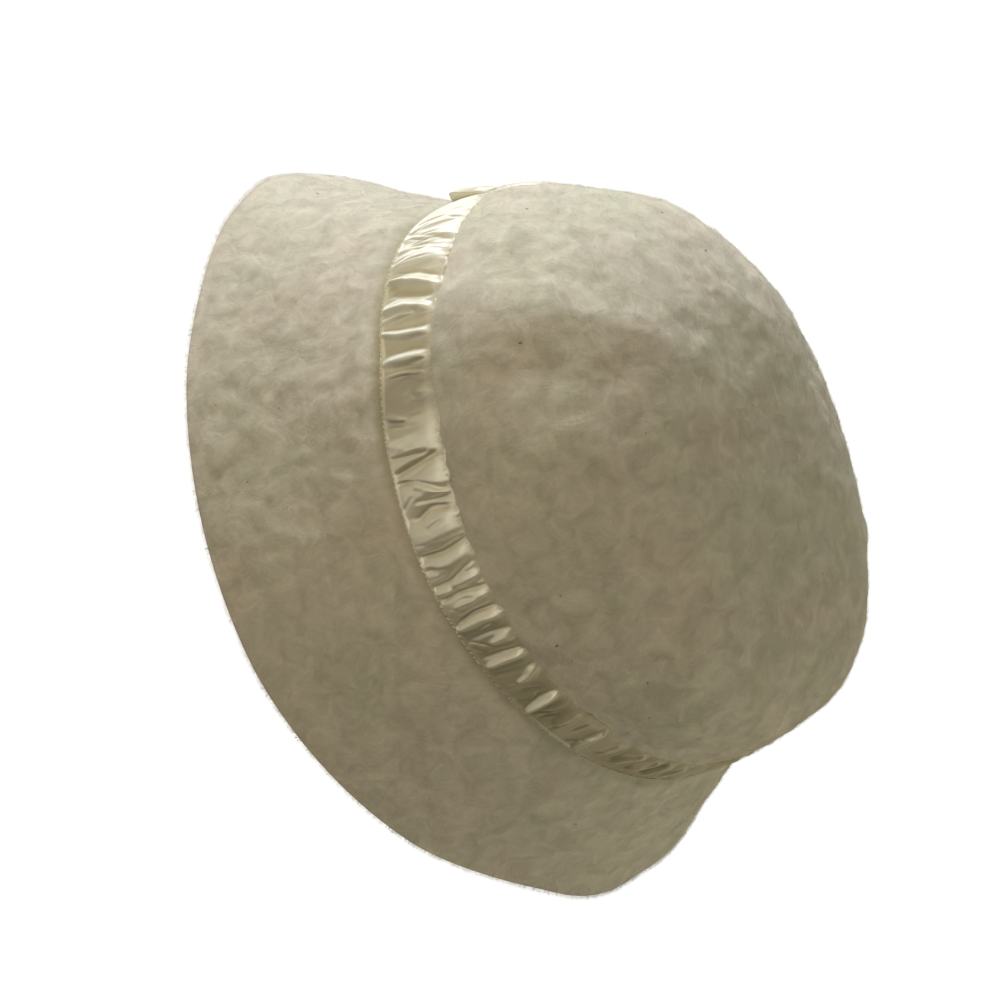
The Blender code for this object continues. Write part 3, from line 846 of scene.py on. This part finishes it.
def build_tab():
    """The ribbon's folded and sewn end at the front: layers that stand off the band at their foot."""
    rows, columns = 22, 20
    half = math.degrees(TAB_WIDTH / 2 / HEAD_LINE.half_length)
    share, side = np.meshgrid(np.linspace(0.0, 1.0, rows), np.linspace(-1.0, 1.0, columns), indexing="ij")
    bearing = TAB_BEARING + half * side * (1.0 - 0.06 * share)
    base = crown_point(bearing, mixed(TAB_LOW, TAB_HIGH, share) / CROWN_HEIGHT)
    normal = unit(np.cross(np.gradient(base, axis=1), np.gradient(base, axis=0)))
    out = mixed(TAB_FOOT_OUT, TAB_HEAD_OUT, share ** 0.8) + 0.14 * np.sin(side * 5.0 + share * 3.0)
    edge = np.minimum(np.minimum(share, 1.0 - share) * 12.0, (1.0 - np.abs(side)) * 8.0)
    rounded = 0.86 + 0.14 * np.sqrt(np.clip(edge, 0.0, 1.0))
    front = base + normal * (out * rounded)[..., None]
    back = base + normal * TAB_BACK_OUT
    count = rows * columns
    loop = np.concatenate([np.arange(columns), np.arange(1, rows) * columns + columns - 1,
                           (rows - 1) * columns + np.arange(columns - 2, -1, -1),
                           np.arange(rows - 2, 0, -1) * columns])
    after = np.roll(loop, -1)
    faces = [ring_faces(rows, columns, closed=False), ring_faces(rows, columns, count, False)[:, ::-1],
             np.stack([loop + count, after + count, after, loop], axis=1)]
    points = np.concatenate([front.reshape(-1, 3), back.reshape(-1, 3)])
    piece = make_mesh("ribbon_end", points, faces, SATIN_LOOK)
    set_points(piece, "satin_painted_light_shade", np.full(len(points), 0.8))
    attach(piece, "root")
    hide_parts("ribbon_tab")
    return piece


# The nap.
NAP_COUNT = 54000
FUZZ_COUNT = 26000
RIM_FUZZ_COUNT = 18000
FRINGE_COUNT = 5000
HAIR_POINTS = 5
NAP_WIDTHS = (0.06, 0.13)
FRINGE_WIDTHS = (0.06, 0.12)
FUZZ_WIDTHS = (0.035, 0.060)


def scatter(points, count, rng, weight):
    """Random places on a stack of rings, even over its area times this weight."""
    corner = points[:-1]
    across = np.roll(corner, -1, axis=1) - corner
    upward = points[1:] - corner
    area = np.linalg.norm(np.cross(across, upward), axis=-1) * weight[:-1]
    picks = rng.choice(area.size, count, p=(area / area.sum()).ravel())
    row, column = np.unravel_index(picks, area.shape)
    u, v = rng.random(count)[:, None], rng.random(count)[:, None]
    after = (column + 1) % points.shape[1]

    def at(values):
        low = values[row, column] * (1 - u) + values[row, after] * u
        high = values[row + 1, column] * (1 - u) + values[row + 1, after] * u
        return low * (1 - v) + high * v

    around, up, normal = (unit(at(values)) for values in ring_frames(points))
    return at(points), around, up, normal


def turned(way, side, angle):
    """Directions turned from way towards side by these angles."""
    return way * np.cos(angle)[:, None] + side * np.sin(angle)[:, None]


def fibre_mesh(name, rng, root, way, out, lengths, lifts, widths, curl, twist=None):
    """Joined thin strips, each from its root along way, rising by its lift and tapering to a point.

    Hairs with a twist lie along the felt and are lit like the felt under them. The others turn any way.
    """
    count = len(root)
    width = rng.uniform(*widths, count)
    curls = rng.normal(0.0, curl, count)
    roll = rng.normal(0.0, twist, count) if twist else rng.uniform(-1.5, 1.5, count)
    side = unit(np.cross(out, way))
    flat = unit(turned(side, out, roll))
    rows = []
    for share, fullness in ((0.0, 0.7), (0.5, 1.0), (1.0, 0.0)):
        along = (lengths * share)[:, None]
        rise = (lifts * (0.06 + 1.3 * share - 0.36 * share ** 2))[:, None]
        bend = (curls * lengths * share ** 2)[:, None]
        centre = root + way * along + side * bend + out * rise
        half = (width * fullness / 2)[:, None]
        rows += [centre - flat * half, centre + flat * half] if fullness else [centre]
    points = np.stack(rows, axis=1)
    points[..., 2] = np.maximum(points[..., 2], 0.02)
    shift = np.arange(count)[:, None] * HAIR_POINTS
    faces = [np.array([[0, 2, 3, 1]]) + shift, np.array([[2, 4, 3]]) + shift]
    piece = make_mesh(name, points.reshape(-1, 3), faces, HAIR_LOOK)
    tone = np.random.default_rng(count).random(count)
    set_points(piece, "hair_tone", np.repeat(tone, HAIR_POINTS))
    if twist:
        piece.data.normals_split_custom_set_from_vertices(np.repeat(out, HAIR_POINTS, axis=0).tolist())
    piece.visible_shadow = False
    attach(piece, "root")


def build_nap(name, points, seed, lean, weight):
    """Hairs that lie along the felt in soft swirls, gathered in wisps."""
    rng = np.random.default_rng(seed)
    root, around, up, normal = scatter(points, NAP_COUNT, rng, weight)
    top = crown_point(np.zeros(1), np.ones(1))[0]
    near_top = smooth_step(44.0, 20.0, np.linalg.norm(root - top, axis=-1))[:, None]
    up = unit(up * (1.0 - near_top) + np.cross(normal, (1.0, 0.0, 0.0)) * near_top)
    around = unit(np.cross(up, normal))
    swirl = 0.90 * noise(root, 26.0, seed + 1) + 0.60 * noise(root, 10.0, seed + 2)
    way = turned(up, around, lean + swirl + rng.normal(0.0, 0.30, NAP_COUNT))
    wisp = smooth_step(0.0, 0.7, noise(root, 6.0, seed + 3))
    lengths = np.minimum(rng.uniform(2.0, 6.0, NAP_COUNT), 1.0 + root[:, 2])
    lifts = rng.uniform(0.05, 0.25, NAP_COUNT) + 0.35 * wisp * rng.random(NAP_COUNT)
    fibre_mesh(name, rng, root, way, normal, lengths, lifts, NAP_WIDTHS, 0.14, 0.30)


def build_fuzz(name, points, seed, weight):
    """Very fine hairs that stand off the felt and soften its outline."""
    rng = np.random.default_rng(seed)
    root, around, up, normal = scatter(points, FUZZ_COUNT, rng, weight)
    way = turned(up, around, rng.uniform(0.0, 2 * math.pi, FUZZ_COUNT))
    lengths = rng.uniform(0.6, 2.4, FUZZ_COUNT)
    lifts = rng.uniform(0.4, 1.3, FUZZ_COUNT) + rng.exponential(0.20, FUZZ_COUNT)
    fibre_mesh(name, rng, root, way, normal, lengths, np.minimum(lifts, 2.2), FUZZ_WIDTHS, 0.35)


def build_rim_fuzz(points):
    """Very fine hairs all round the brim's cut edge. The points are the brim's rings from the rim up."""
    rng = np.random.default_rng(91)
    column = rng.integers(0, points.shape[1], RIM_FUZZ_COUNT)
    share = rng.random(RIM_FUZZ_COUNT)[:, None]
    around, up, normal = (way[0, column] for way in ring_frames(points))
    low = points[0, column] * share + points[0, (column + 1) % points.shape[1]] * (1.0 - share)
    root = low + up * rng.uniform(-1.0, 1.5, RIM_FUZZ_COUNT)[:, None]
    way = unit(turned(-up, around, rng.normal(0.0, 0.8, RIM_FUZZ_COUNT)) + 0.8 * normal)
    lengths = rng.uniform(0.3, 1.4, RIM_FUZZ_COUNT)
    lifts = rng.uniform(0.1, 0.6, RIM_FUZZ_COUNT)
    fibre_mesh("rim_fuzz", rng, root, way, normal, lengths, lifts, FUZZ_WIDTHS, 0.3)


def build_edge_fringe():
    """Short fibres of the crown that lie over the ribbon's upper edge."""
    rng = np.random.default_rng(71)
    bearing = rng.uniform(0.0, 360.0, FRINGE_COUNT)
    height = ribbon_edge(bearing)[1] + rng.uniform(-0.4, 2.2, FRINGE_COUNT)
    place = crown_point(bearing, height / CROWN_HEIGHT)
    around = unit(crown_point(bearing + 0.2, height / CROWN_HEIGHT) - place)
    up = unit(crown_point(bearing, (height + 0.3) / CROWN_HEIGHT) - place)
    normal = unit(np.cross(around, up))
    way = turned(-up, around, rng.normal(0.0, 0.55, FRINGE_COUNT) + 0.6 * noise(place, 7.0, 72))
    lengths = rng.uniform(1.2, 3.4, FRINGE_COUNT)
    lifts = rng.uniform(0.5, 1.3, FRINGE_COUNT)
    root = place + normal * 0.6
    fibre_mesh("ribbon_edge_fringe", rng, root, way, normal, lengths, lifts, FRINGE_WIDTHS, 0.25, 0.4)


# Flecks.
Fleck = namedtuple("Fleck", "bearing height length width")
CROWN_FLECKS = [Fleck(*row) for row in (
    (-31, 0.377, 1.3, 1), (11, 0.54, 1.2, 1), (18.5, 0.415, 1.5, 1.2), (22.5, 0.43, 0.9, 0.7),
    (35.5, 0.627, 1, 0.7), (41.5, 0.514, 0.9, 0.7), (-38.5, 0.621, 1.7, 1.2), (-83, 0.451, 1.2, 0.9),
    (-116, 0.7, 1, 0.6), (-13, 0.908, 0.9, 0.5), (96, 0.979, 0.8, 0.5), (152, 0.55, 1.1, 0.7),
    (171, 0.42, 1, 0.7), (198, 0.72, 1.2, 0.9), (221, 0.5, 0.9, 0.6), (239, 0.84, 1, 0.8),
    (124, 0.66, 0.9, 0.6),
)]
BRIM_FLECKS = [Fleck(*row) for row in (
    (-91, 0.705, 2, 0.8), (-37.8, 0.53, 0.9, 0.6), (-39, 0.839, 0.9, 0.6), (-27, 0.725, 0.8, 0.5),
    (53.8, 0.43, 0.9, 0.6), (118, 0.6, 1.1, 0.7), (160, 0.35, 0.9, 0.7), (205, 0.62, 1, 0.6),
    (246, 0.48, 1.2, 0.8),
)]


def build_flecks():
    """Tiny dark bits caught in the nap."""
    rng = np.random.default_rng(51)
    rings, sides = 5, 8
    points = []
    for surface, flecks, rise in ((crown_point, CROWN_FLECKS, 0.01), (brim_point, BRIM_FLECKS, -0.01)):
        for fleck in flecks:
            bearing = fleck.bearing + np.array([0.0, 0.5, 0.0])
            height = fleck.height + np.array([0.0, 0.0, rise])
            place = surface(bearing, np.minimum(height, 0.999))
            across, up = unit(place[1] - place[0]), unit(place[2] - place[0])
            normal = unit(np.cross(across, up))
            turn = rng.uniform(0.0, math.pi)
            long_way = across * math.cos(turn) + up * math.sin(turn)
            wide_way = np.cross(normal, long_way)
            centre = place[0] + normal * (felt_relief(place[:1])[0] + 0.04)
            for ring in range(rings):
                polar = math.pi * (ring + 0.5) / rings
                along = long_way * math.cos(polar) * fleck.length * 0.42
                for step in range(sides):
                    angle = 2 * math.pi * step / sides
                    wide = wide_way * math.cos(angle) * fleck.width * 0.38 + normal * math.sin(angle) * 0.16
                    wobble = 1.0 + 0.25 * rng.uniform(-1.0, 1.0)
                    points.append(centre + wobble * (along + wide * math.sin(polar)))
    faces = tube_faces(len(points) // (rings * sides), rings, sides)
    piece = make_mesh("felt_flecks", np.array(points), faces, FLECK_LOOK)
    set_points(piece, "hair_tone", np.full(len(points), 0.8))
    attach(piece, "root")


# All pieces.
crown_skin, crown_hair = build_felt_crown()
brim_skin, brim_hair = build_felt_brim()
ribbon, ribbon_points = build_ribbon()
stitches = build_hem_stitches(ribbon_points)
tab = build_tab()
build_nap("crown_nap", crown_skin, 61, 0.25, crown_hair)
build_fuzz("crown_fuzz", crown_skin, 81, crown_hair)
build_nap("brim_nap", brim_skin, 65, math.pi, brim_hair)
build_fuzz("brim_fuzz", brim_skin, 85, brim_hair)
build_rim_fuzz(brim_skin)
build_edge_fringe()
build_flecks()


# The floor, the pale backdrop, the light and the camera.
FLOOR_HALF = 4.0
BACKDROP_RADIUS = 4.5


def add_stage(name, mesh, colour, emission):
    """A floor or backdrop that the camera sees nearly white and that throws no light on the hat."""
    look = Look(name)
    look.set_shader({"Base Color": colour, "Roughness": 0.9, "Specular IOR Level": 0.0,
                     "Emission Color": WHITE, "Emission Strength": emission})
    mesh.materials.append(look.material)
    stage = bpy.data.objects.new(name, mesh)
    stage.visible_diffuse = False
    stage.visible_glossy = False
    bpy.context.scene.collection.objects.link(stage)
    return stage


def build_stage():
    half = FLOOR_HALF
    mesh = bpy.data.meshes.new("floor")
    corners = [(-half, -half, 0), (half, -half, 0), (half, half, 0), (-half, half, 0)]
    mesh.from_pydata(corners, [], [(0, 1, 2, 3)])
    add_stage("floor", mesh, (0.45, 0.45, 0.45), 0.93)
    form = bmesh.new()
    bmesh.ops.create_uvsphere(form, u_segments=48, v_segments=24, radius=BACKDROP_RADIUS)
    bmesh.ops.reverse_faces(form, faces=form.faces[:])
    mesh = bpy.data.meshes.new("backdrop")
    form.to_mesh(mesh)
    form.free()
    backdrop = add_stage("backdrop", mesh, BLACK, 0.96)
    backdrop.visible_shadow = False


HAT_MIDDLE = (0.0, 0.0, 0.06)
WARM_WHITE = (1.0, 0.86, 0.64)
SOFT_WHITE = (0.96, 0.94, 0.75)

# Each light's name, place, size, power and colour, and whether it lights matt and shows in glossy surfaces.
LIGHTS = (
    ("key", (-0.628, -1.346, 0.30), 0.7, 15.6, (0.95, 1.0, 1.09), True, True),
    ("fill_front_left", (0.68, -1.18, 0.69), 1.0, 7.9, WARM_WHITE, True, True),
    ("fill_back_left", (0.74, 1.28, 0.34), 0.6, 2.6, WARM_WHITE, True, True),
    ("fill_back", (-0.26, 1.46, 0.34), 0.6, 3.4, SOFT_WHITE, True, False),
    ("fill_back_right", (-0.92, 0.77, 0.96), 1.0, 1.1, SOFT_WHITE, True, False),
    ("fill_right", (-1.46, 0.13, 0.34), 0.6, 3.0, SOFT_WHITE, True, False),
    ("satin_card_left", (1.10, -0.42, 0.45), 0.9, 7.0, (1.0, 0.95, 0.80), False, True),
    ("satin_card_front", (-1.00, -0.65, 0.45), 0.8, 8.0, (1.0, 0.99, 0.92), False, True),
)


def add_area_light(name, place, size, power, colour, diffuse, gloss):
    """A round light that faces the hat and that the camera doesn't see."""
    light = bpy.data.lights.new(name, "AREA")
    light.shape = "DISK"
    light.size = size
    light.energy = power
    light.color = colour
    lamp = bpy.data.objects.new(name, light)
    lamp.location = place
    lamp.rotation_euler = (Vector(HAT_MIDDLE) - Vector(place)).to_track_quat("-Z", "Y").to_euler()
    lamp.visible_camera = False
    lamp.visible_diffuse = diffuse
    lamp.visible_glossy = gloss
    bpy.context.scene.collection.objects.link(lamp)


def set_sky(colour, strength):
    world = bpy.data.worlds.new("sky")
    world.use_nodes = True
    background = world.node_tree.nodes["Background"]
    background.inputs["Color"].default_value = (*colour, 1.0)
    background.inputs["Strength"].default_value = strength
    bpy.context.scene.world = world


# The camera's place in degrees and metres, from a fit to the outline in the photo.
CAMERA_ELEVATION = 47.083
CAMERA_TURN = -6.286
CAMERA_ROLL = 63.912
CAMERA_DISTANCE = 0.6998
CAMERA_TARGET = (0.0, -0.0023, 0.0204)
CAMERA_LENS = 71.08
CAMERA_SENSOR = 36.0
CAMERA_RANGE = 20.0


def add_camera():
    elevation, turn, roll = (math.radians(v) for v in (CAMERA_ELEVATION, CAMERA_TURN, CAMERA_ROLL))
    level = Vector((-math.sin(turn), math.cos(turn), 0.0))
    reach = math.cos(elevation)
    away = Vector((reach * math.cos(turn), reach * math.sin(turn), math.sin(elevation)))
    upright = away.cross(level)
    right = level * math.cos(roll) + upright * math.sin(roll)
    up = upright * math.cos(roll) - level * math.sin(roll)
    data = bpy.data.cameras.new("photo_camera")
    data.lens = CAMERA_LENS
    data.sensor_width = CAMERA_SENSOR
    data.clip_end = CAMERA_RANGE
    camera = bpy.data.objects.new("photo_camera", data)
    matrix = Matrix((right, up, away)).transposed().to_4x4()
    matrix.translation = Vector(CAMERA_TARGET) + away * CAMERA_DISTANCE
    camera.matrix_world = matrix
    bpy.context.scene.collection.objects.link(camera)
    bpy.context.scene.camera = camera


build_stage()
set_sky((1.0, 0.88, 0.68), 0.07)
for row in LIGHTS:
    add_area_light(*row)
bpy.context.scene.view_settings.view_transform = "Standard"
bpy.context.scene.view_settings.look = "None"
add_camera()
